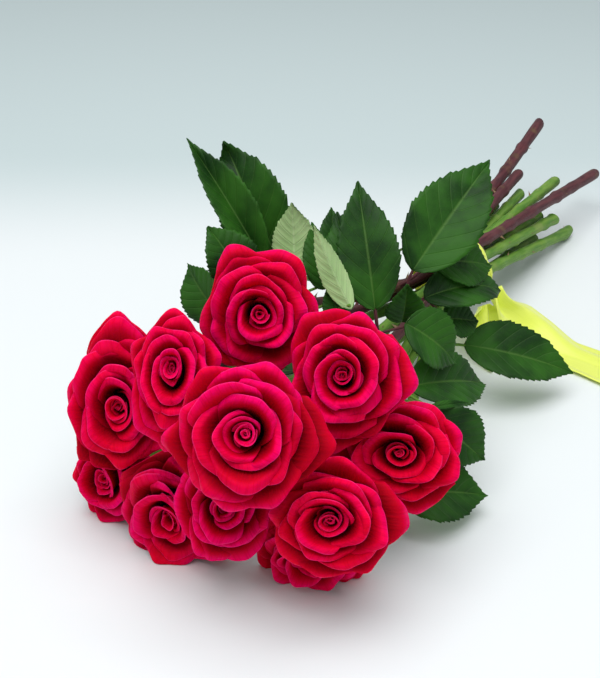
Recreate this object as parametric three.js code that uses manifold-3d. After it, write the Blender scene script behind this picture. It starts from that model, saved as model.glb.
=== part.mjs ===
// A bunch of eleven cut roses lying on a flat surface, tied with a lime yellow satin ribbon.
// Millimetres, +Z up. The bunch lies along Y: blooms towards -Y, cut stem feet towards +Y.
// Places are measured from a point on the surface just beside the tie.
// The finished group is moved so that its origin is the middle of the bunch's base.
import * as THREE from "three";
import { mergeVertices } from "three/addons/utils/BufferGeometryUtils.js";
import Module from "manifold-3d";

const wasm = await Module();
wasm.setup();

// ---------------------------------------------------------------- driving dimensions
const BLADE = 0.8;              // thickness of petals, leaflets, sepals and ribbon
const GAP = 0.3;                // clearance between neighbouring pieces
const PRESS = 0.7;              // how far a petal is pressed flat by the surface under it
const TIE_HEIGHT = 40;          // middle of the tied bundle above the surface
const TIE_SIDE = -6;            // and off the bunch's middle line
const STEM_PITCH = 7.2;         // spacing of the stems where they are tied
const ROW_MIDDLE = 0.2;         // row of stems that is level with the middle of the tie
const STEM_SWIRL = 0.0098;      // sideways lean of a stem towards its bloom, per mm off the bundle's axis
const FOOT_CLIMB = -0.07;       // climb of the bundle's axis per mm towards the cut feet
const FOOT_SPREAD = 0.006;      // how the feet spread sideways, per mm off the axis and mm from the tie
const FOOT_CROSS = 0.004;       // the same for a stem that stands above the axis, to the right
const FOOT_DROP = 0.0125;       // the same for a stem that stands to the right, downwards
const NECK_RADIUS = 2.4;        // stem just under the bloom
const TIE_RADIUS = 3.0;         // stem at the tie
const FOOT_RADIUS = 3.9;        // stem at its cut foot
const FOOT_REACH = 235;         // distance from the tie at which a stem is FOOT_RADIUS thick
const BLOOM_SPAN = 65;          // width of the petal rule's own bloom, before it is scaled to a rose
const BLOOM_HEIGHT = 38;        // foot to eye of the same bloom
const PETAL_TUCK = 0.16;        // how far a petal's two edges stand in and out of its round
const BAND_RADIUS = 15.9;       // inside of the ribbon where it goes round the stems
const BAND_LENGTH = 30;         // the 38 mm ribbon gathered along the stems
const RIBBON_WIDTH = 38;        // the ribbon laid flat

// ---------------------------------------------------------------- colours
const PETAL_PINK = "#d60a35";
const STEM_GREEN = "#2f5a1e";
const STEM_MAROON = "#54303a";
const RIBBON_LIME = "#d9ee58";

// ---------------------------------------------------------------- the roses
// eye: middle of the bloom's face. turn: degrees from -Y towards +X. tilt: degrees upwards.
// across: width of the bloom. wide: how much it is drawn out to its left and to its right. tall: the
// same down and up. open: 1 is half blown. tie: the stem's place in the tied bundle, in pitches across
// and rows up. foot: distance from the tie to the cut. bow: how far the stem is bent aside on its way
// to the tie.
const ROSES = [
  { eye: [-18, -210, 105], turn: 26, tilt: 22, across: 55, wide: [0.9, 1], tall: [0.95, 1.1],
    open: 0.95, tie: [-1, 1], foot: 150, bark: STEM_MAROON },
  { eye: [30, -228, 96], turn: 16, tilt: 30, across: 57, wide: [0.85, 0.97], tall: [1, 1],
    open: 1.0, tie: [0.5, 2], foot: 237, bark: STEM_MAROON },
  { eye: [17, -286, 94], turn: 24, tilt: 27, across: 60, wide: [0.96, 0.9], tall: [0.95, 0.9],
    open: 1.1, tie: [0, 1], foot: 190, bark: STEM_GREEN, bow: [0, 0, 1] },
  { eye: [53, -217, 57], turn: 18, tilt: 26, across: 52, wide: [1.2, 1.1], tall: [0.85, 0.9],
    open: 1.0, tie: [1, 1], foot: 150, bark: STEM_GREEN, bow: [0, 0, 1] },
  { eye: [46, -272, 53], turn: 18, tilt: 22, across: 58, wide: [0.9, 0.98], tall: [0.75, 0.8],
    open: 1.05, tie: [0.5, 0], foot: 150, bark: STEM_GREEN, bow: [-2, 0, 3] },
  { eye: [-4, -270, 46], turn: 24, tilt: 26, across: 46, wide: [0.85, 1.1], tall: [1.1, 1],
    open: 0.9, tie: [-0.5, 0], foot: 150, bark: STEM_GREEN, bow: [-1, 0, 2] },
  { eye: [-34, -257, 97], turn: 24, tilt: 34, across: 48, wide: [0.78, 0.82], tall: [1.25, 1],
    open: 0.9, tie: [-1.42, 0], foot: 245, bark: STEM_MAROON, bow: [-2, 0, 1] },
  { eye: [-68, -252, 66], turn: 20, tilt: 22, across: 54, wide: [0.87, 1], tall: [1.2, 1.27],
    open: 1.0, tie: [-1, -1], foot: 120, bark: STEM_GREEN, bow: [1, 0, 0] },
  { eye: [-80, -251, 21.6], turn: 0, tilt: 10, across: 46, wide: [0.8, 1.1], tall: [1, 1.2],
    open: 0.95, tie: [0, -1], foot: 130, bark: STEM_GREEN },
  { eye: [-37, -262, 19], turn: 10, tilt: 0, across: 54, wide: [1.05, 1.15], tall: [1.1, 1.36],
    open: 0.9, tie: [1, -1], foot: 130, bark: STEM_GREEN },
  { eye: [26, -252, 14], turn: 16, tilt: -14, across: 50, wide: [1, 1.1], tall: [1, 1],
    open: 0.85, tie: [1.5, 0], foot: 175, bark: STEM_GREEN, bow: [1, 0, -2] },
];

// ---------------------------------------------------------------- the leaves
// rose: the stem that carries the leaf, by number. from: y where its stalk leaves the stem.
// Each leaflet runs foot to tip with its upper side turned to face; the stalk ends at the first
// leaflet's foot. pairs: smaller leaflets set in twos along the stalk by rule. bend: degrees from
// foot to tip. fold: degrees that each half is raised along the midrib. curl: degrees that the tip
// is turned back over the upper side.
const LEAVES = [
  { rose: 1, from: -135, leaflets: [
    { foot: [-41, -151, 106], tip: [-76, -135, 151], face: [0.3, -0.8, 0.4], width: 34, bend: 60, curl: 100 },
    { foot: [-41, -164, 107], tip: [-83, -159, 159], face: [0.6, -0.6, 0.5], width: 24, bend: 20, fold: 38 },
  ] },
  { rose: 7, from: -165, leaflets: [
    { foot: [-44, -181, 104], tip: [-59, -183, 128], face: [0.1, -0.4, 0.9], width: 26, bend: 60 },
    { foot: [-56, -175, 78], tip: [-82, -164, 97], face: [-0.2, -0.9, 0.3], width: 26, bend: 40 },
  ] },
  { rose: 3, from: -178, leaflets: [
    { foot: [-24, -164, 106], tip: [-30, -155, 135], face: [-0.3, 0.8, -0.4], width: 21, bend: 40 },
    { foot: [-11, -160, 97], tip: [-23, -148, 124], face: [0.5, -0.8, 0.2], width: 15, bend: 30 },
    { foot: [11, -176, 99], tip: [-9, -174, 135], face: [-0.8, 0.5, 0.2], width: 13, bend: 20, fold: 20 },
    { foot: [0, -151, 90], tip: [-19, -129, 123], face: [0.3, -0.8, 0.4], width: 20, bend: 30 },
    { foot: [-18, -137, 100], tip: [-26, -121, 121], face: [0.5, -0.5, 0.7], width: 14, bend: 30 },
    { foot: [5, -176, 92], tip: [-3, -172, 106], face: [0.6, -0.6, 0.4], width: 13, bend: 30 },
  ] },
  { rose: 2, from: -150, leaflets: [
    { foot: [16, -161, 93], tip: [-7, -133, 142], face: [0.4, -0.8, 0.5], width: 29, bend: 30 },
    { foot: [27, -151, 84], tip: [46, -133, 59], face: [0.3, -0.5, 0.8], width: 30, bend: 40 },
  ] },
  { rose: 4, from: -160, leaflets: [
    { foot: [34, -161, 57], tip: [55, -113, 39], face: [0.5, -0.4, 0.8], width: 30, bend: 40 },
    { foot: [50, -172, 52], tip: [72, -158, 26], face: [0.7, -0.7, 0.3], width: 28, bend: 30 },
    { foot: [50, -177, 58], tip: [62, -156, 53], face: [0.2, -0.5, 0.9], width: 4, bend: 20 },
  ] },
  { rose: 2, from: -92, leaflets: [
    { foot: [7, -94, 83], tip: [24, -35, 125], face: [0.3, -0.8, 0.5], width: 39, bend: 30 },
    { foot: [11, -77, 82], tip: [32, -45, 71], face: [0.3, -0.6, 0.7], width: 32, bend: 30 },
    { foot: [14, -123, 69], tip: [17, -125, 91], face: [0.5, -0.7, 0.5], width: 20, bend: 30 },
  ] },
  { rose: 2, from: -72, leaflets: [
    { foot: [12, -89, 66], tip: [39, -48, 58], face: [0.2, -0.6, 0.8], width: 26, bend: 80 },
    { foot: [21, -85, 55], tip: [35, -69, 49], face: [0.3, -0.6, 0.7], width: 22, bend: 30 },
  ] },
  { rose: 11, from: -90, leaflets: [
    { foot: [28, -68, 33], tip: [80, -36, 13], face: [0.2, -0.5, 0.9], width: 36, bend: 25 },
  ] },
  { rose: 11, from: -196, leaflets: [
    { foot: [42, -190, 18], tip: [76, -161, 9], face: [0.2, -0.5, 0.8], width: 34, bend: 25 },
  ] },
  { rose: 8, from: -160, pairs: 1, leaflets: [
    { foot: [-66, -140, 36], tip: [-106, -112, 18], face: [-0.2, 0.1, 1], width: 34, bend: 30 },
  ] },
  { rose: 9, from: -128, pairs: 1, leaflets: [
    { foot: [-60, -94, 9], tip: [-98, -56, 2], face: [0, 0, 1], width: 34, bend: 10 },
  ] },
  { rose: 10, from: -140, leaflets: [
    { foot: [-14, -98, 7], tip: [-22, -44, 2], face: [0, 0, 1], width: 32, bend: 10 },
  ] },
  { rose: 7, from: -100, pairs: 1, leaflets: [
    { foot: [-34, -68, 50], tip: [-62, -22, 58], face: [-0.4, 0.1, 0.9], width: 34, bend: 40 },
  ] },
  { rose: 1, from: -62, leaflets: [
    { foot: [-8, -38, 61], tip: [-19, 11, 75], face: [-0.2, -0.5, 0.8], width: 30, bend: 35 },
  ] },
];

// ---------------------------------------------------------------- small helpers
const { lerp, clamp, smoothstep, degToRad } = THREE.MathUtils;
const vec = (place) => new THREE.Vector3(...place);
const UP = new THREE.Vector3(0, 0, 1);

// A number from -1 to 1 that is the same on every run.
function chance(seed, draw) {
  const wide = Math.sin(seed * 12.9898 + draw * 78.233) * 43758.5453;
  return 2 * (wide - Math.floor(wide)) - 1;
}

// A closed three.js geometry as a solid that can be joined and cut.
function solidOf(geometry) {
  const bare = geometry.clone();
  bare.deleteAttribute("normal");
  bare.deleteAttribute("uv");
  const welded = mergeVertices(bare);
  return new wasm.Manifold(new wasm.Mesh({
    numProp: 3,
    vertProperties: Float32Array.from(welded.attributes.position.array),
    triVerts: Uint32Array.from(welded.index.array),
  }));
}

function joined(solids) {
  return solids.reduce((whole, piece) => whole.add(piece));
}

// The outer skin of a joined solid: scraps that hang on nothing and sealed hollows are dropped.
function outerSkin(solid) {
  const { vertProperties, triVerts } = solid.getMesh();
  const group = Array.from({ length: vertProperties.length / 3 }, (_, index) => index);
  const rootOf = (index) => {
    while (group[index] !== index) {
      group[index] = group[group[index]];
      index = group[index];
    }
    return index;
  };
  for (let t = 0; t < triVerts.length; t += 3) {
    group[rootOf(triVerts[t])] = rootOf(triVerts[t + 1]);
    group[rootOf(triVerts[t + 1])] = rootOf(triVerts[t + 2]);
  }
  const corner = (index) => new THREE.Vector3().fromArray(vertProperties, index * 3);
  const volumes = new Map();
  for (let t = 0; t < triVerts.length; t += 3) {
    const [a, b, c] = [0, 1, 2].map((k) => corner(triVerts[t + k]));
    const root = rootOf(triVerts[t]);
    volumes.set(root, (volumes.get(root) ?? 0) + a.dot(b.cross(c)) / 6);
  }
  const [main] = [...volumes].reduce((best, entry) => (entry[1] > best[1] ? entry : best));
  const kept = [];
  for (let t = 0; t < triVerts.length; t += 3) {
    if (rootOf(triVerts[t]) === main) kept.push(...triVerts.slice(t, t + 3));
  }
  const geometry = new THREE.BufferGeometry();
  geometry.setAttribute("position", new THREE.BufferAttribute(vertProperties, 3));
  geometry.setIndex(kept);
  return geometry;
}

function subpart(name, solid, color, roughness) {
  const geometry = outerSkin(solid).toNonIndexed();
  geometry.computeVertexNormals();
  const material = new THREE.MeshStandardMaterial({ color, roughness, metalness: 0 });
  const mesh = new THREE.Mesh(geometry, material);
  mesh.name = name;
  return mesh;
}

// A thin closed blade round a grid of points on its middle surface, rows from foot to tip.
function bladeSolid(grid, thickness = BLADE) {
  const rows = grid.length;
  const columns = grid[0].length;
  const at = (row, column) => grid[clamp(row, 0, rows - 1)][clamp(column, 0, columns - 1)];
  const positions = [];
  for (const side of [0.5, -0.5]) {
    for (let row = 0; row < rows; row += 1) {
      for (let column = 0; column < columns; column += 1) {
        const along = at(row + 1, column).clone().sub(at(row - 1, column));
        const across = at(row, column + 1).clone().sub(at(row, column - 1));
        const normal = across.cross(along).normalize();
        const corner = at(row, column).clone().addScaledVector(normal, side * thickness);
        positions.push(corner.x, corner.y, corner.z);
      }
    }
  }
  const index = [];
  const under = rows * columns;
  for (let row = 0; row + 1 < rows; row += 1) {
    for (let column = 0; column + 1 < columns; column += 1) {
      const a = row * columns + column;
      const b = a + 1;
      const c = a + columns;
      const d = c + 1;
      index.push(a, b, d, a, d, c);
      index.push(under + a, under + d, under + b, under + a, under + c, under + d);
    }
  }
  const rim = [];
  for (let column = 0; column < columns; column += 1) rim.push(column);
  for (let row = 1; row < rows; row += 1) rim.push(row * columns + columns - 1);
  for (let column = columns - 2; column >= 0; column -= 1) rim.push((rows - 1) * columns + column);
  for (let row = rows - 2; row > 0; row -= 1) rim.push(row * columns);
  rim.forEach((a, place) => {
    const b = rim[(place + 1) % rim.length];
    index.push(a, under + a, b, b, under + a, under + b);
  });
  const geometry = new THREE.BufferGeometry();
  geometry.setAttribute("position", new THREE.Float32BufferAttribute(positions, 3));
  geometry.setIndex(index);
  return solidOf(geometry);
}

// A rod of many flat sides along a curve. radiusAt gives its radius at a point of the curve.
function rodSolid(curve, steps, sides, radiusAt) {
  const ring = Array.from({ length: sides }, (_, side) => {
    const turn = (side / sides) * Math.PI * 2;
    return new THREE.Vector2(Math.cos(turn), Math.sin(turn));
  });
  const rod = new THREE.ExtrudeGeometry(new THREE.Shape(ring), { steps, extrudePath: curve });
  const centres = curve.getSpacedPoints(steps);
  const corners = rod.attributes.position;
  for (let k = 0; k < corners.count; k += 1) {
    const corner = new THREE.Vector3().fromBufferAttribute(corners, k);
    const centre = centres.reduce((best, point) => (
      point.distanceToSquared(corner) < best.distanceToSquared(corner) ? point : best));
    corner.sub(centre).multiplyScalar(radiusAt(centre)).add(centre);
    corners.setXYZ(k, corner.x, corner.y, corner.z);
  }
  return solidOf(rod);
}

// ---------------------------------------------------------------- where each rose is
function facing({ turn, tilt }) {
  const [side, rise] = [degToRad(turn), degToRad(tilt)];
  return new THREE.Vector3(
    Math.sin(side) * Math.cos(rise), -Math.cos(side) * Math.cos(rise), Math.sin(rise));
}

// Fills in what follows from a rose's own line: its axis, size, middle and the bloom's foot.
function placed(rose, index) {
  const axis = facing(rose);
  const size = rose.across / BLOOM_SPAN;
  const eye = vec(rose.eye);
  const foot = eye.clone().addScaledVector(axis, -BLOOM_HEIGHT * size);
  const middle = eye.clone().lerp(foot, 0.5);
  const seat = new THREE.Quaternion().setFromUnitVectors(UP, axis);
  const side = new THREE.Vector3(Math.cos(degToRad(rose.turn)), Math.sin(degToRad(rose.turn)), 0);
  const rise = axis.clone().cross(side);
  const name = `rose_${String(index + 1).padStart(2, "0")}`;
  const seed = 3 + 5 * index;
  return { ...rose, name, axis, side, rise, size, foot, cut: rose.foot, middle, seat, seed };
}

// A place round the bloom's foot, drawn out to its left, right, bottom and top.
function stretched(place, { side, rise, wide, tall }) {
  const result = place.clone();
  for (const [way, [back, forth]] of [[side, wide], [rise, tall]]) {
    const reach = result.dot(way);
    result.addScaledVector(way, reach * ((reach < 0 ? back : forth) - 1));
  }
  return result;
}

// How far a bloom reaches from its middle in one direction.
function reachOf(rose, way) {
  return (stretched(way, rose).length() * rose.across) / 2;
}

const roses = ROSES.map(placed);

// The walls that a bloom is pressed against: between each two neighbours, and the surface below.
function wallsOf(rose) {
  const walls = [];
  for (const other of roses) {
    const between = other.middle.clone().sub(rose.middle);
    const near = between.length() < 0.8 * (rose.across + other.across);
    if (other !== rose && near) {
      const normal = between.clone().normalize();
      const own = reachOf(rose, normal);
      const share = own / (own + reachOf(other, normal));
      const point = rose.middle.clone().addScaledVector(between, share);
      walls.push({ normal, point, clear: GAP / 2 });
    }
  }
  const down = new THREE.Vector3(0, 0, -1);
  walls.push({ normal: down, point: new THREE.Vector3(), clear: -PRESS, softness: 0.1 });
  return walls;
}

// Presses a point back from the walls. Far from a wall it stays; beyond it, it closes up on it.
// softness: how far off a wall the pressing starts.
function pressed(point, walls, softness, thickness) {
  const result = point.clone();
  for (let round = 0; round < 3; round += 1) {
    for (const wall of walls) {
      const reach = result.clone().sub(wall.point).dot(wall.normal);
      const limit = -(wall.clear + thickness / 2);
      const margin = wall.softness ?? softness;
      if (reach > limit - margin) {
        const squeezed = limit - margin * Math.exp(-(reach - limit + margin) / margin);
        result.addScaledVector(wall.normal, squeezed - reach);
      }
    }
  }
  return result;
}

// ---------------------------------------------------------------- blooms
// One petal of the rule's own bloom, at place 0 (innermost) to 1 (outermost): a grid of points.
// It rises from the foot, stands up and rolls outwards at its rim.
function petalGrid({ place, columns, rows, petals }, seed, open) {
  const steps = 20;
  const widest = 1.2 * (Math.PI / petals);
  const length = lerp(29, 47, smoothstep(place, 0.1, 0.5)) * (1 + 0.02 * chance(seed, 1));
  const lean = degToRad(lerp(82, 2, place ** 0.52));
  const stand = degToRad(lerp(99, 70, place ** 2.6) - 14 * (open - 1));
  const rise = lerp(0.36, 0.62, place);
  const roll = degToRad(lerp(40, 135, place)) * open * (1 + 0.06 * chance(seed, 2));
  const rollFrom = lerp(0.92, 0.8, place);
  const lop = 0.3 * chance(seed, 3);
  const profile = (u) => {
    const reach = 1 - lerp(0.05, 0.17, place) * Math.abs(u) ** 1.8;
    const side = lerp(0, 0.5, place) * Math.max(u, 0) ** 1.5;
    const step = (length * reach) / steps;
    const points = [];
    let radius = 1;
    let height = 0;
    for (let k = 0; k <= steps; k += 1) {
      const t = k / steps;
      const rolled = smoothstep(t, rollFrom, 1) ** 1.2;
      const upright = lerp(lean, stand, smoothstep(t, 0, rise));
      const angle = upright - roll * (lerp(1, 0.58, place) + side) * rolled;
      radius += Math.cos(angle) * step * 0.5;
      height += Math.sin(angle) * step * 0.5;
      points.push([radius, height]);
      radius += Math.cos(angle) * step * 0.5;
      height += Math.sin(angle) * step * 0.5;
    }
    return points;
  };
  const spine = profile(0);
  const sides = columns.map((u) => profile(u));
  return rows.map((t) => columns.map((u, column) => {
    const k = Math.round(t * steps);
    const [radius, height] = sides[column][k];
    const half = lerp(12, 26, place ** 0.75) * (0.35 + 0.65 * smoothstep(t, 0, 0.58));
    const turn = u * Math.min(half / Math.max(spine[k][0], lerp(4, 9, place)), widest);
    const ripple = Math.sin(4.5 * u + 6 * chance(seed, 4)) + 0.5 * Math.sin(10 * u + 6 * chance(seed, 5));
    const wave = (0.25 + 0.55 * place) * t ** 3 * ripple;
    const out = radius * (1 + PETAL_TUCK * u) + 0.4 * wave;
    const up = height + 0.55 * wave + place * lop * u * t;
    return new THREE.Vector3(out * Math.cos(turn), out * Math.sin(turn), up);
  }));
}

// Petals stand in three rounds. In each they overlap like the tiles of a pinwheel, one edge tucked
// under the last petal and the other over the next. place: how far out the round's petals are.
const ROUNDS = [
  { petals: 3, place: 0.42, columns: [-1, -0.35, 0.35, 1], rows: [0.7, 1] },
  { petals: 3, place: 0.72, columns: [-1, -0.35, 0.35, 1], rows: [0.6, 1] },
  { petals: 5, place: 1.02, columns: [-1, -0.35, 0.35, 1], rows: [0.45, 0.8, 1] },
];

function petalSolids(rose, walls) {
  const petals = [];
  ROUNDS.forEach((round, layer) => {
    for (let k = 0; k < round.petals; k += 1) {
      const seed = rose.seed * 31 + layer * 7 + k;
      const place = (k + 0.5 * layer + 0.1 * chance(seed, 6)) / round.petals;
      const azimuth = (place + chance(rose.seed, 0)) * 2 * Math.PI;
      const grid = petalGrid(round, seed, rose.open);
      petals.push(bladeSolid(grid.map((row) => row.map((point) => (
        pressed(inBunch(point.applyAxisAngle(UP, azimuth), rose), walls, 1.5, BLADE))))));
    }
  });
  return petals;
}

// A point of the rule's own bloom, scaled to its rose and set on its axis.
function inBunch(point, rose) {
  const lift = 1.2;
  const seated = point.clone().multiplyScalar(rose.size)
    .add(new THREE.Vector3(0, 0, lift)).applyQuaternion(rose.seat);
  return stretched(seated, rose).add(rose.foot);
}

// The furled middle of a bloom, which the petals stand out of.
function heart(rose, walls) {
  const profile = [[0, 0], [15, 2], [18, 10], [8, 31], [0, 35]];
  const turned = new THREE.LatheGeometry(profile.map(([r, z]) => new THREE.Vector2(r, z)), 6);
  turned.rotateX(Math.PI / 2);
  const corners = turned.attributes.position;
  for (let k = 0; k < corners.count; k += 1) {
    const corner = new THREE.Vector3().fromBufferAttribute(corners, k);
    const place = pressed(inBunch(corner, rose), walls, 1, 0);
    corners.setXYZ(k, place.x, place.y, place.z);
  }
  return solidOf(turned);
}

// The heart and the petals, grown together. What the surface flattens is cut to it.
function bloom(rose) {
  const walls = wallsOf(rose);
  const whole = joined([heart(rose, walls), ...petalSolids(rose, walls)]);
  return subpart(`${rose.name}_bloom`, whole.subtract(belowSurface), PETAL_PINK, 0.55);
}

const belowSurface = solidOf(new THREE.BoxGeometry(1000, 1000, 100).translate(0, 0, -50));

// ---------------------------------------------------------------- stems
// The stem's place at the tie and the ways it runs from there. Towards the blooms each stem leans
// sideways by its distance from the bundle's axis, so the stems wind round each other and never meet.
// Towards the feet they spread: the upper ones to the right, and the right ones down.
function tied(rose) {
  const [across, row] = rose.tie;
  const x = across * STEM_PITCH;
  const z = (row - ROW_MIDDLE) * STEM_PITCH * Math.sin(Math.PI / 3);
  return {
    point: new THREE.Vector3(TIE_SIDE + x, 0, TIE_HEIGHT + z),
    upper: new THREE.Vector3(-z * STEM_SWIRL, 1, x * STEM_SWIRL),
    lower: new THREE.Vector3(
      x * FOOT_SPREAD + z * FOOT_CROSS, 1, FOOT_CLIMB - x * FOOT_DROP),
  };
}

// The middle line of a stem, from under its bloom, through the tie to its cut foot.
function stemCurve(rose) {
  const { point, upper, lower } = tied(rose);
  const neck = rose.foot.clone().addScaledVector(rose.axis, -2);
  const toBloom = new THREE.CubicBezierCurve3(
    neck,
    rose.foot.clone().addScaledVector(rose.axis, -30),
    point.clone().addScaledVector(upper, -75).add(vec(rose.bow ?? [0, 0, 0])),
    point,
  );
  const route = toBloom.getPoints(9);
  for (const part of [0.25, 0.6, 1]) {
    route.push(point.clone().addScaledVector(lower, rose.cut * part));
  }
  return new THREE.CatmullRomCurve3(route);
}

function stemRadius({ y }) {
  if (y > 0) return lerp(TIE_RADIUS, FOOT_RADIUS, y / FOOT_REACH);
  return lerp(TIE_RADIUS, NECK_RADIUS, -y / FOOT_REACH);
}

// The point of the stem with a given y.
function stemAt(curve, y) {
  const points = curve.getSpacedPoints(200);
  return points.reduce((best, point) => (Math.abs(point.y - y) < Math.abs(best.y - y) ? point : best));
}

// The green cup under the bloom, and the star of five sepals bent back along the stem.
function cupSolids(rose, walls) {
  const profile = [[0, -11], [2.4, -11], [4.6, -5], [4, 0], [0, 0]];
  const cup = new THREE.LatheGeometry(profile.map(([r, z]) => new THREE.Vector2(r, z)), 6);
  cup.rotateX(Math.PI / 2).applyQuaternion(rose.seat).translate(...rose.foot.toArray());
  const rim = [];
  for (let point = 0; point < 10; point += 1) {
    const isTip = point % 2 === 0;
    const out = isTip ? 15 + 2 * chance(rose.seed, 20 + point) : 4.6;
    const up = isTip ? -9 + 3 * chance(rose.seed, 30 + point) : -2.2;
    rim.push(new THREE.Vector3(out, 0, up).applyAxisAngle(UP, (point / 10) * Math.PI * 2));
  }
  const corners = [...rim, new THREE.Vector3(0, 0, -1)];
  const drop = new THREE.Vector3(0, 0, -BLADE);
  const all = [...corners, ...corners.map((corner) => corner.clone().add(drop))].map((corner) => (
    pressed(corner.applyQuaternion(rose.seat).add(rose.foot), walls, 1, BLADE)));
  const index = [];
  const middleTop = 10;
  const under = 11;
  for (let a = 0; a < 10; a += 1) {
    const b = (a + 1) % 10;
    index.push(a, b, middleTop, under + b, under + a, under + middleTop);
    index.push(b, a, under + a, b, under + a, under + b);
  }
  const star = new THREE.BufferGeometry().setFromPoints(all).setIndex(index);
  return [solidOf(cup), solidOf(star)];
}

// Prickles set along the stem by a seeded rule, clear of the tie. Each points away from the middle
// of the bunch and a little towards the foot.
const PRICKLE_PLACES = [-150, -105, -60, 58, 95, 140];

function prickleSolids(rose, curve) {
  return PRICKLE_PLACES.filter((y) => y < rose.cut - 15).map((y, k) => {
    const point = stemAt(curve, y + 10 * chance(rose.seed, 40 + k));
    const tangent = stemAt(curve, point.y + 5).sub(point).normalize();
    const axisHeight = TIE_HEIGHT + FOOT_CLIMB * Math.max(point.y, 0);
    const outwards = new THREE.Vector3(point.x - TIE_SIDE, 0, point.z - axisHeight);
    outwards.applyAxisAngle(tangent, 0.9 * chance(rose.seed, 50 + k));
    outwards.addScaledVector(tangent, -outwards.dot(tangent)).normalize();
    const way = outwards.clone().addScaledVector(tangent, 0.35).normalize();
    const seat = point.clone().addScaledVector(outwards, stemRadius(point) + 0.6);
    const prickle = new THREE.ConeGeometry(1.6, 4, 3).rotateX(Math.PI / 2);
    prickle.applyQuaternion(new THREE.Quaternion().setFromUnitVectors(UP, way));
    return solidOf(prickle.translate(...seat.toArray()));
  });
}

// ---------------------------------------------------------------- leaves
const LEAFLET_ROWS = 5;

// The midrib of a leaflet in its own plane: an arc whose last quarter may be curled back. Gives its
// way along the chord, its rise and its slope at each row.
function leafletSpine(length, arc, curl) {
  const steps = 20;
  const chord = (2 * Math.sin(arc / 2)) / arc;
  const step = length / chord / steps;
  const spine = [];
  let along = 0;
  let hump = 0;
  for (let k = 0; k <= steps; k += 1) {
    const lean = arc * (0.5 - k / steps) + curl * smoothstep(k / steps, 0.72, 1);
    if (k % (steps / LEAFLET_ROWS) === 0) spine.push({ along, hump, lean });
    along += Math.cos(lean) * step;
    hump += Math.sin(lean) * step;
  }
  return spine;
}

// A toothed oval leaflet: a blade of a left half, a midrib and a right half, bent foot to tip.
function leafletSolid({ foot, tip, face, width, bend = 30, fold = 14, curl = 0 }) {
  const start = vec(foot);
  const chord = vec(tip).sub(start);
  const length = chord.length();
  const ahead = chord.normalize();
  const up = vec(face);
  up.addScaledVector(ahead, -up.dot(ahead)).normalize();
  const sideways = ahead.clone().cross(up);
  const spine = leafletSpine(length, degToRad(bend), degToRad(curl));
  const grid = spine.map(({ along, hump, lean }, row) => {
    const t = row / LEAFLET_ROWS;
    const over = ahead.clone().multiplyScalar(-Math.sin(lean)).addScaledVector(up, Math.cos(lean));
    const rib = start.clone().addScaledVector(ahead, along).addScaledVector(up, hump);
    const tooth = row % 2 ? 1.06 : 0.9;
    const oval = Math.sin(Math.PI * t ** 0.75) ** lerp(0.7, 1.2, t);
    const half = Math.max((width / 2) * oval * tooth, 0.7);
    const flat = half * Math.cos(degToRad(fold));
    const raise = half * Math.sin(degToRad(fold));
    const lead = (row % 2) * 0.03 * length;
    const edge = (side) => rib.clone().addScaledVector(sideways, side * flat)
      .addScaledVector(over, raise).addScaledVector(ahead, lead);
    return [edge(-1), rib, edge(1)].map((point) => onSurface(point));
  });
  return bladeSolid(grid);
}

// Keeps the middle of a blade no lower than a blade lying on the surface.
function onSurface(point) {
  return point.setZ(Math.max(point.z, BLADE / 2));
}

// The smaller leaflets of a leaf, in twos along its stalk.
function sideLeaflets(leaf, stalk) {
  const main = leaf.leaflets[0];
  const up = vec(main.face).normalize();
  const length = vec(main.tip).distanceTo(vec(main.foot)) * 0.74;
  const small = [];
  for (let pair = 0; pair < (leaf.pairs ?? 0); pair += 1) {
    const along = 0.86 - 0.36 * pair;
    const ahead = stalk.getTangentAt(along);
    for (const hand of [-1, 1]) {
      const foot = stalk.getPointAt(along);
      const way = ahead.clone().applyAxisAngle(up, hand * degToRad(62));
      const tip = foot.clone().addScaledVector(way, length);
      small.push({ ...main, foot: foot.toArray(), tip: tip.toArray(), width: main.width * 0.74 });
    }
  }
  return small;
}

// The leaf stalk and its leaflets. A leaflet that isn't the first hangs on the stalk's nearest point.
function leafSolids(leaf, stem) {
  const [main, ...others] = leaf.leaflets;
  const root = stemAt(stem, leaf.from);
  const end = vec(main.foot);
  const ahead = vec(main.tip).sub(end).normalize();
  const arrive = end.clone().addScaledVector(ahead, -0.4 * end.distanceTo(root));
  const stalk = new THREE.QuadraticBezierCurve3(root, arrive, end.clone().addScaledVector(ahead, 2));
  const solids = [rodSolid(stalk, 4, 4, () => 1.1)];
  const points = stalk.getSpacedPoints(40);
  for (const leaflet of others) {
    const foot = vec(leaflet.foot);
    const joint = points.reduce((best, point) => (
      point.distanceToSquared(foot) < best.distanceToSquared(foot) ? point : best));
    const way = vec(leaflet.tip).sub(foot).normalize();
    const small = new THREE.LineCurve3(joint, foot.addScaledVector(way, 2));
    solids.push(rodSolid(small, 1, 4, () => 1));
  }
  for (const leaflet of [...leaf.leaflets, ...sideLeaflets(leaf, stalk)]) {
    solids.push(leafletSolid(leaflet));
  }
  return solids;
}

// Everything that grew as one: the stem with its cup, sepals, prickles and leaves.
function leafyStem(rose, index) {
  const curve = stemCurve(rose);
  const own = LEAVES.filter((leaf) => leaf.rose === index + 1);
  const whole = joined([
    rodSolid(curve, 11, 6, stemRadius),
    ...cupSolids(rose, wallsOf(rose)),
    ...prickleSolids(rose, curve),
    ...own.flatMap((leaf) => leafSolids(leaf, curve)),
  ]);
  return subpart(`${rose.name}_stem`, whole.subtract(belowSurface), rose.bark, 0.6);
}

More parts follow.
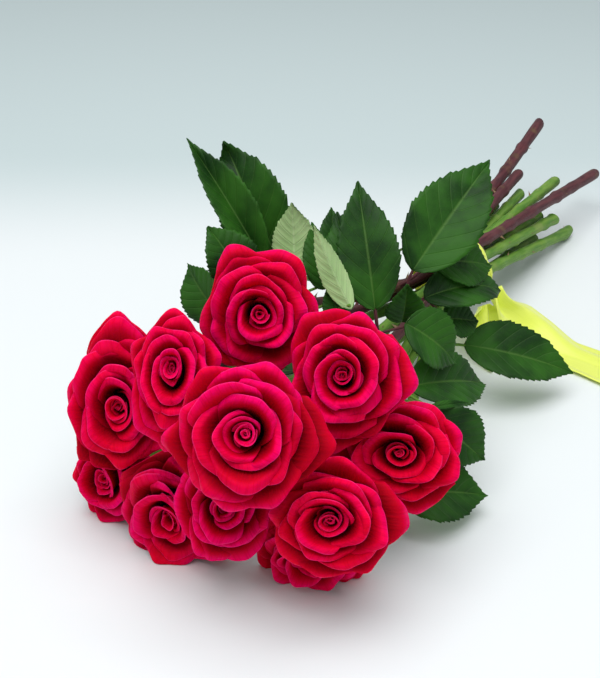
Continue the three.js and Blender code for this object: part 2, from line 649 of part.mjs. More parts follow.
// ---------------------------------------------------------------- ribbon
// The turn round the stems: a closed ring whose outside is gathered into four soft folds.
function ribbonBand() {
  const half = BAND_LENGTH / 2;
  const outside = [[1.0, -1], [1.9, -0.62], [1.1, -0.3], [2.1, 0.05], [1.1, 0.4], [1.8, 0.72], [1.0, 1]];
  const profile = outside.map(([out, along]) => new THREE.Vector2(BAND_RADIUS + out, along * half));
  profile.push(new THREE.Vector2(BAND_RADIUS, half), new THREE.Vector2(BAND_RADIUS, -half));
  profile.push(profile[0].clone());
  const ring = new THREE.LatheGeometry(profile, 18).translate(TIE_SIDE, 0, TIE_HEIGHT);
  return subpart("ribbon_band", solidOf(ring), RIBBON_LIME, 0.45);
}

const KNOT_TURN = 100;          // degrees round the band from its top to the knot

// The knot: a small pad on the band's right side, hollowed to sit on it.
function ribbonKnot() {
  const pad = new THREE.SphereGeometry(1, 9, 6);
  pad.scale(6, 9, 5).translate(0, 0, BAND_RADIUS + 5.1).rotateY(degToRad(KNOT_TURN));
  pad.translate(TIE_SIDE, 3, TIE_HEIGHT);
  const room = new THREE.CylinderGeometry(BAND_RADIUS + 2.1 + GAP, BAND_RADIUS + 2.1 + GAP, 60, 36);
  room.translate(TIE_SIDE, 0, TIE_HEIGHT);
  return subpart("ribbon_knot", solidOf(pad).subtract(solidOf(room)), RIBBON_LIME, 0.45);
}

const TAIL_OPENING = 0.14;      // part of a tail's length in which it opens out

// A tail of ribbon along a curve: gathered narrow at the knot, then opening to its full width,
// which lies along the given direction.
function ribbonTail(name, route, across, width) {
  const curve = new THREE.CatmullRomCurve3(route.map(vec));
  const rows = route.length * 2;
  const wide = vec(across).normalize();
  const grid = curve.getSpacedPoints(rows).map((point, row) => {
    const spread = lerp(0.3, 1, smoothstep(row / rows, 0, TAIL_OPENING));
    return [-0.5, 0.5].map((side) => (
      onSurface(point.clone().addScaledVector(wide, side * width * spread))));
  });
  return subpart(name, bladeSolid(grid), RIBBON_LIME, 0.45);
}

const LONG_TAIL = [
  [20, 2, 34], [25, 1, 27], [33, 7, 18], [45, 11, 9], [64, 6, 1], [86, 0, 0], [120, -14, 0], [166, -36, 0],
];
const SHORT_TAIL = [[16, -4, 25], [20, -10, 15], [27, -17, 5], [38, -24, 0]];

// ---------------------------------------------------------------- the whole bunch
const bunch = new THREE.Group();
bunch.add(...roses.map(bloom));
bunch.add(...roses.map(leafyStem));
bunch.add(ribbonBand(), ribbonKnot());
bunch.add(ribbonTail("ribbon_long_tail", LONG_TAIL, [0.28, 1, 0], RIBBON_WIDTH * 0.9));
bunch.add(ribbonTail("ribbon_short_tail", SHORT_TAIL, [0.5, 1, 0], RIBBON_WIDTH * 0.6));

const extent = new THREE.Box3().setFromObject(bunch);
const middle = extent.getCenter(new THREE.Vector3());
bunch.position.set(-middle.x, -middle.y, 0);

export default bunch;
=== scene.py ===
import math

import bpy
import numpy as np
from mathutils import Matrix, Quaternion, Vector


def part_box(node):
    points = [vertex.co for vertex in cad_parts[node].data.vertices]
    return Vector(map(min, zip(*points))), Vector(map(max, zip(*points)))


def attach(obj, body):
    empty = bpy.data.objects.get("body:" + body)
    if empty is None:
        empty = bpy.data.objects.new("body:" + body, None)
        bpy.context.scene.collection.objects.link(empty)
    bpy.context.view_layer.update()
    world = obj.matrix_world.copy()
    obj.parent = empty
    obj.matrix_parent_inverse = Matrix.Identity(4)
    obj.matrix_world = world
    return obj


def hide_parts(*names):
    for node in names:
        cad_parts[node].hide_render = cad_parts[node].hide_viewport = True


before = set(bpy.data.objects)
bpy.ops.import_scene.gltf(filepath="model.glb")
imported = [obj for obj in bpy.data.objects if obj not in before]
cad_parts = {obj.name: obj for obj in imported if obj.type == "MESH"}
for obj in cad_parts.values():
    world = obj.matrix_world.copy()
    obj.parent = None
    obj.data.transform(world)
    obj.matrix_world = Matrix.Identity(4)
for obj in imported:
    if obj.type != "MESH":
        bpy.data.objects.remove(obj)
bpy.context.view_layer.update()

# =====================================================================================
# Rose stems. Eleven stalks run from under the blooms, through the tie, to their cut feet.
# They lie side by side where they are tied and lean round each other like the rods of a
# swirl. Some are green and three are maroon. Lengths are in millimetres, from a point on the
# surface just beside the tie.
# =====================================================================================
TIE_SIDE, TIE_HEIGHT = -6, 40
STEM_PITCH, ROW_MIDDLE = 7.2, 0.2
STEM_SWIRL = 0.0098
FOOT_CLIMB, FOOT_SPREAD, FOOT_CROSS, FOOT_DROP = -0.07, 0.006, 0.004, 0.0125
NECK_RADIUS, TIE_RADIUS, FOOT_RADIUS = 2.4, 3.0, 3.9
FOOT_REACH = 235
BLOOM_SPAN, BLOOM_HEIGHT = 65, 38

band_low, band_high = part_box("ribbon_band")
TIE_PLACE = np.array(((band_low + band_high) / 2) * 1000) - (TIE_SIDE, 0, TIE_HEIGHT)

# eye: middle of the bloom's face. turn: degrees from -Y to +X. tilt: degrees upwards.
# across: the bloom's width. wide: how much it is drawn out to its left and right. tall: the
# same down and up. open: 1 is half blown. tie: place in the tied bundle, in
# pitches. cut: from the tie to the foot.
ROSES = [
    dict(eye=(-18, -210, 105), turn=26, tilt=22, across=55, wide=(0.9, 1), tall=(0.95, 1.1),
         open=0.95, tie=(-1, 1), cut=150),
    dict(eye=(30, -228, 96), turn=16, tilt=30, across=57, wide=(0.85, 0.97), tall=(1, 1),
         open=1.0, tie=(0.5, 2), cut=237),
    dict(eye=(17, -286, 94), turn=24, tilt=27, across=60, wide=(0.96, 0.9), tall=(0.95, 0.9),
         open=1.1, tie=(0, 1), cut=190),
    dict(eye=(53, -217, 57), turn=18, tilt=26, across=52, wide=(1.2, 1.1), tall=(0.85, 0.9),
         open=1.0, tie=(1, 1), cut=150),
    dict(eye=(46, -272, 53), turn=18, tilt=22, across=58, wide=(0.9, 0.98), tall=(0.75, 0.8),
         open=1.05, tie=(0.5, 0), cut=150),
    dict(eye=(-4, -270, 46), turn=24, tilt=26, across=46, wide=(0.85, 1.1), tall=(1.1, 1),
         open=0.9, tie=(-0.5, 0), cut=150),
    dict(eye=(-34, -257, 97), turn=24, tilt=34, across=48, wide=(0.78, 0.82), tall=(1.25, 1),
         open=0.9, tie=(-1.42, 0), cut=245),
    dict(eye=(-68, -252, 66), turn=20, tilt=22, across=54, wide=(0.87, 1), tall=(1.2, 1.27),
         open=1.0, tie=(-1, -1), cut=120),
    dict(eye=(-80, -251, 21.6), turn=0, tilt=10, across=46, wide=(0.8, 1.1), tall=(1, 1.2),
         open=0.95, tie=(0, -1), cut=130),
    dict(eye=(-37, -262, 19), turn=10, tilt=0, across=54, wide=(1.05, 1.15), tall=(1.1, 1.36),
         open=0.9, tie=(1, -1), cut=130),
    dict(eye=(26, -252, 14), turn=16, tilt=-14, across=50, wide=(1, 1.1), tall=(1, 1),
         open=0.85, tie=(1.5, 0), cut=175),
]
MAROON_ROSES = (1, 2, 7)
BOWS = {3: (0, 0, 1), 4: (0, 0, 1), 5: (-2, 0, 3), 6: (-1, 0, 2), 7: (-2, 0, 1), 8: (1, 0, 0),
        11: (1, 0, -2)}


def mix(a, b, part):
    return a + (b - a) * part


def smooth(x):
    x = np.clip(x, 0, 1)
    return x * x * (3 - 2 * x)


def chance(seed, draw):
    """A number from -1 to 1 that is the same on every run."""
    wide = math.sin(seed * 12.9898 + draw * 78.233) * 43758.5453
    return 2 * (wide - math.floor(wide)) - 1


def unit(v):
    v = np.asarray(v, float)
    return v / np.maximum(np.linalg.norm(v, axis=-1, keepdims=True), 1e-9)


for number, rose in enumerate(ROSES, 1):
    side, rise = math.radians(rose["turn"]), math.radians(rose["tilt"])
    rose["name"] = f"rose_{number:02d}"
    rose["seed"] = 3 + 5 * (number - 1)
    rose["axis"] = np.array((
        math.sin(side) * math.cos(rise), -math.cos(side) * math.cos(rise), math.sin(rise)))
    rose["size"] = rose["across"] / BLOOM_SPAN
    rose["foot"] = np.array(rose["eye"]) - rose["axis"] * BLOOM_HEIGHT * rose["size"]
    rose["middle"] = (np.array(rose["eye"]) + rose["foot"]) / 2
    seat = Vector((0, 0, 1)).rotation_difference(Vector(rose["axis"]))
    rose["seat"] = np.array(seat.to_matrix())
    rose["side"] = np.array((math.cos(side), math.sin(side), 0))
    rose["rise"] = np.cross(rose["axis"], rose["side"])
    rose["maroon"] = number in MAROON_ROSES
    across, row = rose["tie"]
    x, z = across * STEM_PITCH, (row - ROW_MIDDLE) * STEM_PITCH * math.sin(math.pi / 3)
    rose["tied"] = np.array((TIE_SIDE + x, 0, TIE_HEIGHT + z))
    to_bloom = np.array((-z * STEM_SWIRL, 1, x * STEM_SWIRL))
    rose["lean"] = np.array((x * FOOT_SPREAD + z * FOOT_CROSS, 1, FOOT_CLIMB - x * FOOT_DROP))
    bow = np.array(BOWS.get(number, (0, 0, 0)))
    neck = rose["foot"] - 2 * rose["axis"]
    bend_1, bend_2 = rose["foot"] - 30 * rose["axis"], rose["tied"] - 75 * to_bloom + bow
    t = np.linspace(0, 1, 61)[:, None]
    upper = ((1 - t) ** 3 * neck + 3 * (1 - t) ** 2 * t * bend_1
             + 3 * (1 - t) * t ** 2 * bend_2 + t ** 3 * rose["tied"])
    lower = rose["tied"] + np.linspace(0, 1, 41)[1:, None] * rose["lean"] * rose["cut"]
    line = np.vstack((upper, lower))
    line[:, 2] = np.maximum(line[:, 2], FOOT_RADIUS + 0.1)
    rose["line"] = line


def stem_radius(y):
    towards_foot = mix(TIE_RADIUS, FOOT_RADIUS, y / FOOT_REACH)
    towards_bloom = mix(TIE_RADIUS, NECK_RADIUS, -y / FOOT_REACH)
    return np.where(y > 0, towards_foot, towards_bloom)


def stem_point(rose, y):
    return rose["line"][np.argmin(np.abs(rose["line"][:, 1] - y))]


def linked(name, data):
    """An object in the scene that shows a mesh, a lamp or a camera."""
    thing = bpy.data.objects.new(name, data)
    bpy.context.scene.collection.objects.link(thing)
    return thing


class Shape:
    """Gathers the points and faces of one piece, with a place on it (u, v) for each point."""

    def __init__(self):
        self.points, self.faces, self.places, self.looks = [], [], [], []

    def add(self, points, faces, places, look=0):
        start = sum(len(p) for p in self.points)
        self.points.append(np.asarray(points, float).reshape(-1, 3))
        self.places.append(np.asarray(places, float).reshape(-1, 2))
        self.faces += [tuple(start + corner for corner in face) for face in faces]
        self.looks += [look] * len(faces)

    def tube(self, line, radius, sides=12, look=0):
        """A closed round rod along a line of points."""
        line = np.asarray(line, float)
        ahead = unit(np.gradient(line, axis=0))
        first = unit(np.cross(ahead, (0.13, 0.2, 1)))
        second = np.cross(ahead, first)
        turn = np.linspace(0, 2 * math.pi, sides, endpoint=False)
        radius = np.broadcast_to(radius, (len(line),))[:, None, None]
        rings = line[:, None] + radius * (
            first[:, None] * np.cos(turn)[None, :, None]
            + second[:, None] * np.sin(turn)[None, :, None])
        count = len(line)
        faces = []
        for k in range(count - 1):
            for side in range(sides):
                nxt = (side + 1) % sides
                faces.append((k * sides + side, k * sides + nxt,
                              (k + 1) * sides + nxt, (k + 1) * sides + side))
        along = np.concatenate(([0], np.cumsum(np.linalg.norm(np.diff(line, axis=0), axis=1))))
        places = np.stack(np.broadcast_arrays(turn[None, :] / (2 * math.pi), along[:, None]), -1)
        points = list(rings.reshape(-1, 3))
        where = list(places.reshape(-1, 2))
        for ring, first_end in ((0, True), ((count - 1) * sides, False)):
            centre = len(points)
            points.append(line[0] if first_end else line[-1])
            where.append((0.5, 0 if first_end else along[-1]))
            for side in range(sides):
                a, b = ring + side, ring + (side + 1) % sides
                faces.append((centre, b, a) if first_end else (centre, a, b))
        self.add(points, faces, where, look)

    def blade(self, grid, thickness, look=0, under=None):
        """A thin closed sheet round a grid of points on its middle surface."""
        grid = np.asarray(grid, float)
        rows, columns = grid.shape[:2]
        along = np.gradient(grid, axis=0)
        across = np.gradient(grid, axis=1)
        normal = unit(np.cross(across, along))
        both = np.stack((grid + normal * thickness / 2, grid - normal * thickness / 2))
        v, u = np.meshgrid(np.linspace(0, 1, rows), np.linspace(0, 1, columns), indexing="ij")
        places = np.stack((u, v), -1)
        index = np.arange(rows * columns).reshape(rows, columns)
        a, b = index[:-1, :-1].ravel(), index[:-1, 1:].ravel()
        c, d = index[1:, 1:].ravel(), index[1:, :-1].ravel()
        lower = rows * columns
        top = list(zip(a, b, c, d))
        bottom = list(zip(a + lower, d + lower, c + lower, b + lower))
        rim = np.concatenate((index[0, :], index[1:, -1], index[-1, -2::-1], index[-2:0:-1, 0]))
        edge = [(p, p + lower, q + lower, q) for p, q in zip(rim, np.roll(rim, -1))]
        self.add(both, top + edge, np.stack((places, places)), look)
        start = sum(len(p) for p in self.points[:-1])
        self.faces += [tuple(start + corner for corner in face) for face in bottom]
        self.looks += [look if under is None else under] * len(bottom)

    def piece(self, name, materials, slot, *nodes):
        """The Blender object: it rides on the root and stands for the given solids."""
        mesh = bpy.data.meshes.new(name)
        points = (np.concatenate(self.points) + TIE_PLACE) / 1000
        mesh.from_pydata(points, [], self.faces)
        layer = mesh.uv_layers.new(name="place")
        corners = np.zeros(len(mesh.loops), np.int32)
        mesh.loops.foreach_get("vertex_index", corners)
        layer.data.foreach_set("uv", np.concatenate(self.places)[corners].ravel())
        for material in materials:
            mesh.materials.append(material)
        mesh.polygons.foreach_set("material_index", self.looks)
        mesh.polygons.foreach_set("use_smooth", [True] * len(mesh.polygons))
        mesh.update()
        thing = linked(name, mesh)
        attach(thing, "root")
        if nodes:
            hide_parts(*nodes)
        return thing


def add_node(tree, kind, settings=None, sockets=None):
    """A node of one type: its settings first, then a value or a link for each socket."""
    node = tree.nodes.new(kind)
    for name, setting in (settings or {}).items():
        setattr(node, name, setting)
    for name, item in (sockets or {}).items():
        item = getattr(item, "socket", item)
        if isinstance(item, bpy.types.NodeSocket):
            tree.links.new(item, node.inputs[name])
        else:
            node.inputs[name].default_value = item
    return node


class Value:
    """A number inside a material that can be added to, multiplied and so on."""

    def __init__(self, tree, socket):
        self.tree, self.socket = tree, socket

    def math(self, kind, *others):
        node = add_node(self.tree, "ShaderNodeMath", {"operation": kind},
                        dict(enumerate((self, *others))))
        return Value(self.tree, node.outputs[0])

    def __add__(self, other):
        return self.math("ADD", other)

    def __sub__(self, other):
        return self.math("SUBTRACT", other)

    def __mul__(self, other):
        return self.math("MULTIPLY", other)

    def __pow__(self, other):
        return self.math("POWER", other)

    __radd__, __rmul__ = __add__, __mul__

    def __rsub__(self, other):
        return self * -1 + other

    def step(self, low, high):
        """0 below low, 1 above high, and a soft ramp between."""
        node = add_node(self.tree, "ShaderNodeMapRange", {"interpolation_type": "SMOOTHSTEP"},
                        {"Value": self, "From Min": low, "From Max": high})
        return Value(self.tree, node.outputs["Result"])


class Look:
    """A material made of one shader, whose sockets take numbers, colours or Values."""

    def __init__(self, name, **fixed):
        self.material = bpy.data.materials.new(name)
        self.material.use_nodes = True
        self.tree = self.material.node_tree
        self.shader = self.tree.nodes["Principled BSDF"]
        for socket, value in fixed.items():
            self.shader.inputs[socket.replace("_", " ")].default_value = value

    def place(self):
        """The piece's own (u, v) as two Values."""
        layer = add_node(self.tree, "ShaderNodeUVMap", {"uv_map": "place"})
        parts = add_node(self.tree, "ShaderNodeSeparateXYZ", {}, {0: layer.outputs[0]})
        return Value(self.tree, parts.outputs[0]), Value(self.tree, parts.outputs[1])

    def vector(self, x, y):
        return add_node(self.tree, "ShaderNodeCombineXYZ", {}, {0: x, 1: y}).outputs[0]

    def noise(self, scale, detail, at=None):
        """Soft random patches, 0 to 1, over the object or over a given vector."""
        if at is None:
            at = add_node(self.tree, "ShaderNodeTexCoord").outputs["Object"]
        node = add_node(self.tree, "ShaderNodeTexNoise", {},
                        {"Scale": scale, "Detail": detail, "Roughness": 0.5, "Vector": at})
        return Value(self.tree, node.outputs[0])

    def colour(self, factor, low, high):
        """A blend of two colours, each a triple or an earlier blend."""
        low, high = ((*end, 1) if isinstance(end, tuple) else end for end in (low, high))
        node = add_node(self.tree, "ShaderNodeMix", {"data_type": "RGBA"},
                        {0: factor, 6: low, 7: high})
        return node.outputs[2]

    def set(self, socket, item):
        self.tree.links.new(getattr(item, "socket", item), self.shader.inputs[socket])

    def bump(self, height, strength, distance):
        node = add_node(self.tree, "ShaderNodeBump", {},
                        {"Strength": strength, "Distance": distance, "Height": height})
        self.set("Normal", node.outputs[0])


def bark(name, young, old, speck):
    """Smooth young bark: long streaks, paler specks and a fine grain along the stem."""
    look = Look(name, Roughness=0.5, Specular_IOR_Level=0.18)
    u, v = look.place()
    streak = look.noise(1.0, 3.0, at=look.vector(u * 9, v * 0.05))
    patch = look.noise(60.0, 3.0)
    grain = look.noise(1.0, 2.0, at=look.vector(u * 50, v * 0.8))
    colour = look.colour(streak.step(0.3, 0.7), young, old)
    colour = look.colour(patch.step(0.56, 0.72) * 0.5, colour, speck)
    look.set("Base Color", colour)
    look.set("Roughness", patch * 0.3 + 0.35)
    look.bump(grain + patch, 0.35, 0.0004)
    return look.material


green_bark = bark("green_bark", (0.075, 0.20, 0.022), (0.17, 0.31, 0.045), (0.27, 0.33, 0.10))
maroon_bark = bark("maroon_bark", (0.055, 0.012, 0.018), (0.12, 0.033, 0.038), (0.17, 0.12, 0.05))
cut_look = Look("cut_wood", Roughness=0.8)
cut_look.set("Base Color", cut_look.colour(
    cut_look.noise(900.0, 2.0), (0.34, 0.38, 0.16), (0.55, 0.55, 0.32)))

# The swollen nodes of a stem: their rough places along it, and how long and thick they are.
NODE_PLACES = (-150, -95, -55, 48, 84, 121, 155, 195)
NODE_SHIFT, NODE_LENGTH, NODE_SWELL = 10, 2.8, 0.24
STALK_SIDES = 14
CUT_SLANT = 0.55

for rose in ROSES:
    stalk = Shape()
    line = rose["line"]
    nodes = [y + NODE_SHIFT * chance(rose["seed"], 70 + y % 13) for y in NODE_PLACES]
    knots = sum(np.exp(-((line[:, 1] - y) / NODE_LENGTH) ** 2) for y in nodes)
    ripple = 0.08 * np.sin(line[:, 1] * 0.11 + rose["seed"])
    radius = stem_radius(line[:, 1]) * (1 + NODE_SWELL * knots + 0.4 * ripple)
    end, ahead = line[-1], unit(rose["lean"])
    line = np.vstack((line[:-1], end - 0.3 * ahead, end))
    radius = np.append(radius, radius[-1] * 0.96)
    stalk.tube(line, radius, STALK_SIDES)
    disc = np.array([end + ahead * 0.02, end + ahead * 0.25])
    stalk.tube(disc, (radius[-1] * 0.8, radius[-1] * 0.78), STALK_SIDES, look=1)
    slant = math.pi * chance(rose["seed"], 80)
    way = math.cos(slant) * np.array((1, 0, 0)) + math.sin(slant) * np.array((0, 0, 1))
    for points in stalk.points:
        cut_end = (points - end) @ ahead > -0.5
        points[cut_end] += CUT_SLANT * ((points[cut_end] - end) @ way)[:, None] * ahead
    rose["bark"] = maroon_bark if rose["maroon"] else green_bark
    rose["slot"] = "maroon_stem_and_leaves" if rose["maroon"] else "green_stem_and_leaves"
    stalk.piece(rose["name"] + "_stalk", [rose["bark"], cut_look.material], rose["slot"],
                rose["name"] + "_stem")

# =====================================================================================
# Prickles. They stand on the stems by a seeded rule, clear of the tie. Each is a hooked
# cone with a long foot, bent a little towards the cut end.
# =====================================================================================
PRICKLE_LENGTH = 3.6
PRICKLE_SIZES = 0.65, 1.1
# How far the prickles keep from the neck, from the tie on both its sides, and from the cut.
NECK_CLEAR, ABOVE_TIE, BELOW_TIE, CUT_CLEAR = 22, 42, 26, 8


def prickle_mesh():
    """One prickle in metres, standing off along X on a stem that runs along Z."""
    shape = Shape()
    rows, sides = 6, 8
    rings = []
    for k in range(rows):
        part = k / (rows - 1)
        wide = (1 - part) ** 1.4
        middle = np.array((PRICKLE_LENGTH * part, 0, 1.8 * part ** 2))
        ring = [middle + (0, 0.7 * wide * math.sin(a), 1.7 * wide * math.cos(a))
                for a in np.linspace(0, 2 * math.pi, sides, endpoint=False)]
        rings += ring if k < rows - 1 else [middle]
    faces = []
    for k in range(rows - 2):
        for side in range(sides):
            nxt = (side + 1) % sides
            faces.append((k * sides + side, (k + 1) * sides + side,
                          (k + 1) * sides + nxt, k * sides + nxt))
    tip = (rows - 1) * sides
    for side in range(sides):
        faces.append(((rows - 2) * sides + side, tip, (rows - 2) * sides + (side + 1) % sides))
    faces.append(tuple(range(sides)))
    mesh = bpy.data.meshes.new("prickle")
    mesh.from_pydata(np.array(rings) / 1000, [], faces)
    mesh.polygons.foreach_set("use_smooth", [True] * len(mesh.polygons))
    return mesh


def prickle_group():
    """Stands the prickle along a line at a spacing, each turned round it at random."""
    group = bpy.data.node_groups.new("prickles_along_a_stem", "GeometryNodeTree")

    def socket(name, kind, direction="INPUT"):
        return group.interface.new_socket(
            name=name, in_out=direction, socket_type=kind).identifier

    socket("Line", "NodeSocketGeometry")
    names = {
        "prickle": socket("Prickle", "NodeSocketObject"),
        "spacing": socket("Spacing", "NodeSocketFloat"),
        "radius": socket("Stem radius", "NodeSocketFloat"),
        "seed": socket("Seed", "NodeSocketInt"),
        "look": socket("Look", "NodeSocketMaterial"),
    }
    socket("Geometry", "NodeSocketGeometry", "OUTPUT")
    given = add_node(group, "NodeGroupInput").outputs
    curve = add_node(group, "GeometryNodeMeshToCurve", {}, {"Mesh": given["Line"]})
    points = add_node(group, "GeometryNodeCurveToPoints", {"mode": "LENGTH"},
                      {"Curve": curve.outputs[0], "Length": given["Spacing"]})
    turn = add_node(group, "FunctionNodeRandomValue", {"data_type": "FLOAT_VECTOR"},
                    {"Min": (0, 0, 0), "Max": (0, 0, 2 * math.pi), "Seed": given["Seed"]})
    turn = add_node(group, "FunctionNodeEulerToRotation", {}, {0: turn.outputs["Value"]})
    rotate = add_node(group, "FunctionNodeRotateRotation", {"rotation_space": "LOCAL"},
                      {"Rotation": points.outputs["Rotation"], "Rotate By": turn.outputs[0]})
    smallest, largest = PRICKLE_SIZES
    size = add_node(group, "FunctionNodeRandomValue", {"data_type": "FLOAT"},
                    {2: smallest, 3: largest, "Seed": given["Seed"]})
    source = add_node(group, "GeometryNodeObjectInfo", {}, {"Object": given["Prickle"]})
    stand = add_node(group, "GeometryNodeInstanceOnPoints", {}, {
        "Points": points.outputs["Points"], "Instance": source.outputs["Geometry"],
        "Rotation": rotate.outputs[0], "Scale": size.outputs[1]})
    offset = add_node(group, "ShaderNodeCombineXYZ", {}, {0: given["Stem radius"]})
    shift = add_node(group, "GeometryNodeTranslateInstances", {},
                     {"Instances": stand.outputs[0], "Translation": offset.outputs[0]})
    real = add_node(group, "GeometryNodeRealizeInstances", {}, {0: shift.outputs[0]})
    look = add_node(group, "GeometryNodeSetMaterial", {},
                    {"Geometry": real.outputs[0], "Material": given["Look"]})
    add_node(group, "NodeGroupOutput", {}, {0: look.outputs[0]})
    return group, names


thorn = Look("prickle_wood", Roughness=0.45)
thorn.set("Base Color", thorn.colour(
    thorn.noise(400.0, 2.0), (0.16, 0.075, 0.04), (0.30, 0.20, 0.09)))
prickle_source = linked("prickle_source", prickle_mesh())
prickles, prickle_inputs = prickle_group()
for rose in ROSES:
    line = rose["line"]
    y = line[:, 1]
    spans = [line[(y < -ABOVE_TIE) & (y > rose["foot"][1] + NECK_CLEAR)],
             line[(y > BELOW_TIE) & (y < rose["cut"] - CUT_CLEAR)]]
    points, edges = [], []
    for span in spans:
        start = len(points)
        points += list((span + TIE_PLACE) / 1000)
        edges += [(start + k, start + k + 1) for k in range(len(span) - 1)]
    mesh = bpy.data.meshes.new("prickle_line")
    mesh.from_pydata(points, edges, [])
    carrier = linked("prickle_line", mesh)
    modifier = carrier.modifiers.new("prickles", "NODES")
    modifier.node_group = prickles
    modifier[prickle_inputs["prickle"]] = prickle_source
    modifier[prickle_inputs["spacing"]] = 0.031 + 0.004 * chance(rose["seed"], 60)
    modifier[prickle_inputs["radius"]] = 0.0026
    modifier[prickle_inputs["seed"]] = rose["seed"]
    modifier[prickle_inputs["look"]] = thorn.material
    bpy.context.view_layer.update()
    graph = bpy.context.evaluated_depsgraph_get()
    grown = bpy.data.meshes.new_from_object(carrier.evaluated_get(graph))
    bpy.data.objects.remove(carrier)
    thing = linked(rose["name"] + "_prickles", grown)
    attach(thing, "root")
    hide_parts(rose["name"] + "_stem")
bpy.data.objects.remove(prickle_source)

# =====================================================================================
# Cups and sepals. Under each bloom the stem swells into a green cup, and five narrow
# sepals bend back along the stem from its rim.
# =====================================================================================
SEPAL_LENGTH = 17
PETAL_GAP = 0.15
FLOOR_REST = 0.35


def stretched(points, rose):
    """Points round the bloom's foot, drawn out to its left, right, bottom and top."""
    result = points
    for way, (back, forth) in ((rose["side"], rose["wide"]), (rose["rise"], rose["tall"])):
        reach = points @ way
        result = result + (reach * (np.where(reach < 0, back, forth) - 1))[..., None] * way
    return result


def reach_of(rose, way):
    """How far the bloom reaches from its middle in one direction."""
    return np.linalg.norm(stretched(way, rose)) * rose["across"] / 2


def walls_of(rose):
    """The walls a bloom is pressed against: between each two neighbours, and the surface."""
    walls = []
    for other in ROSES:
        between = other["middle"] - rose["middle"]
        distance = np.linalg.norm(between)
        if other is not rose and distance < 0.8 * (rose["across"] + other["across"]):
            own, theirs = (reach_of(each, between / distance) for each in (rose, other))
            share = own / (own + theirs)
            walls.append((between / distance, rose["middle"] + between * share, PETAL_GAP, None))
    walls.append((np.array((0, 0, -1.0)), np.zeros(3), FLOOR_REST, 0.1))
    return walls


def pressed(points, walls, softness):
    """Presses points back from the walls; beyond a wall they close up on it."""
    result = np.array(points, float)
    for _ in range(3):
        for normal, origin, clear, own in walls:
            margin = own or softness
            reach = (result - origin) @ normal
            limit = -clear
            squeezed = limit - margin * np.exp(-np.maximum(reach - limit + margin, 0) / margin)
            move = np.where(reach > limit - margin, squeezed - reach, 0)
            result += move[..., None] * normal
    return result


sepal_look = Look("sepal_green", Roughness=0.5)
sepal_look.set("Base Color", sepal_look.colour(
    sepal_look.noise(160.0, 3.0), (0.05, 0.15, 0.025), (0.16, 0.30, 0.06)))
sepal_look.bump(sepal_look.noise(900.0, 2.0), 0.3, 0.0003)

for rose in ROSES:
    cup = Shape()
    walls = walls_of(rose)
    heights = np.array((-11, -9, -7, -5, -3, -1.5, 0, 1.5))
    widths = np.array((2.5, 2.9, 3.9, 4.7, 4.9, 4.6, 4.2, 3.0))
    core = rose["foot"] + heights[:, None] * rose["axis"]
    cup.tube(core, widths, 16)
    for k in range(5):
        azimuth = 2 * math.pi * k / 5 + 0.2 * chance(rose["seed"], 20 + k)
        t = np.linspace(0, 1, 14)[:, None]
        u = np.linspace(-1, 1, 5)[None, :]
        half = 3.1 * (1 - t) ** 0.8 + 0.35
        bend = math.radians(-25 + 14 * chance(rose["seed"], 30 + k))
        angle = mix(0.35, bend - 0.5, smooth(t * 1.4))
        step = SEPAL_LENGTH / 13
        out = 3.9 + np.cumsum(np.cos(angle) * step, axis=0) - step
        up = -1.2 + np.cumsum(np.sin(angle) * step, axis=0)
        out, up = out + 0 * u, up - 0.9 * u ** 2 * (1 - t)
        sideways = half * u
        grid = np.stack((
            out * math.cos(azimuth) - sideways * math.sin(azimuth),
            out * math.sin(azimuth) + sideways * math.cos(azimuth), up), -1)
        grid = grid @ rose["seat"].T + rose["foot"]
        cup.blade(pressed(grid, walls, 1.0), 0.5)
    cup.piece(rose["name"] + "_cup", [sepal_look.material], rose["slot"], rose["name"] + "_stem")

# =====================================================================================
# Rose blooms. Each is a whorl of petals set by the golden angle, from the furled spiral in
# the middle to the outer petals that stand open and roll back at their rims. Neighbours
# press on each other, and the lowest are flattened by the surface.
# =====================================================================================
BUD_PETALS, OPEN_PETALS, GUARD_PETALS = 9, 14, 6
BUD_REACH, CUP_START, GUARD_SPREAD = 0.34, 0.42, 0.1
PETAL_THICKNESS = 0.28
PETAL_ROWS, PETAL_COLUMNS = 24, 28
GOLDEN_ANGLE = 137.5
# Loose petals that fill the hollows between neighbours: rose, and degrees round its face
# from its right towards its top.
LOOSE_PETALS = {1: (215,), 2: (-95,), 3: (-8, 180), 4: (170,), 7: (-98,), 8: (95,), 10: (60,)}
LOOSE_PLACE = 1.22


